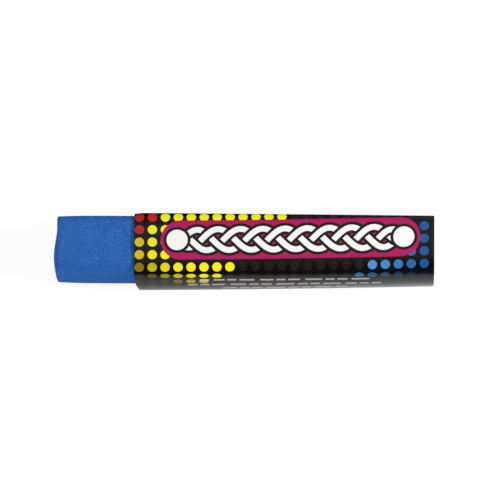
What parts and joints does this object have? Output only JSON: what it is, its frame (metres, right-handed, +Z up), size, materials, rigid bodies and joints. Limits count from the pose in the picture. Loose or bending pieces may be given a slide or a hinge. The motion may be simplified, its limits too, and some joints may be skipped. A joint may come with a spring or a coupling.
{
  "type": "hair chalk",
  "caption": "Square stick of soft blue hair chalk with domed ends, wrapped in a glued, printed paper sleeve that leaves one end bare for rubbing on hair",
  "frame": {"origin": "Under the middle of the whole object's bounding box, on the surface that it lies on", "axes": "+X runs along the stick from the bare end to the wrapped end, +Z is up, -Y is the front, where the sleeve's front panel stands off the stick"},
  "size_m": [0.065, 0.0118, 0.0104],
  "materials": {
    "blue_chalk": "matte, powdery",
    "printed_paper": "glossy coated, printed"
  },
  "bodies": {
    "root": {"chalk_stick": "blue_chalk", "paper_sleeve": "printed_paper"}
  },
  "joints": []
}
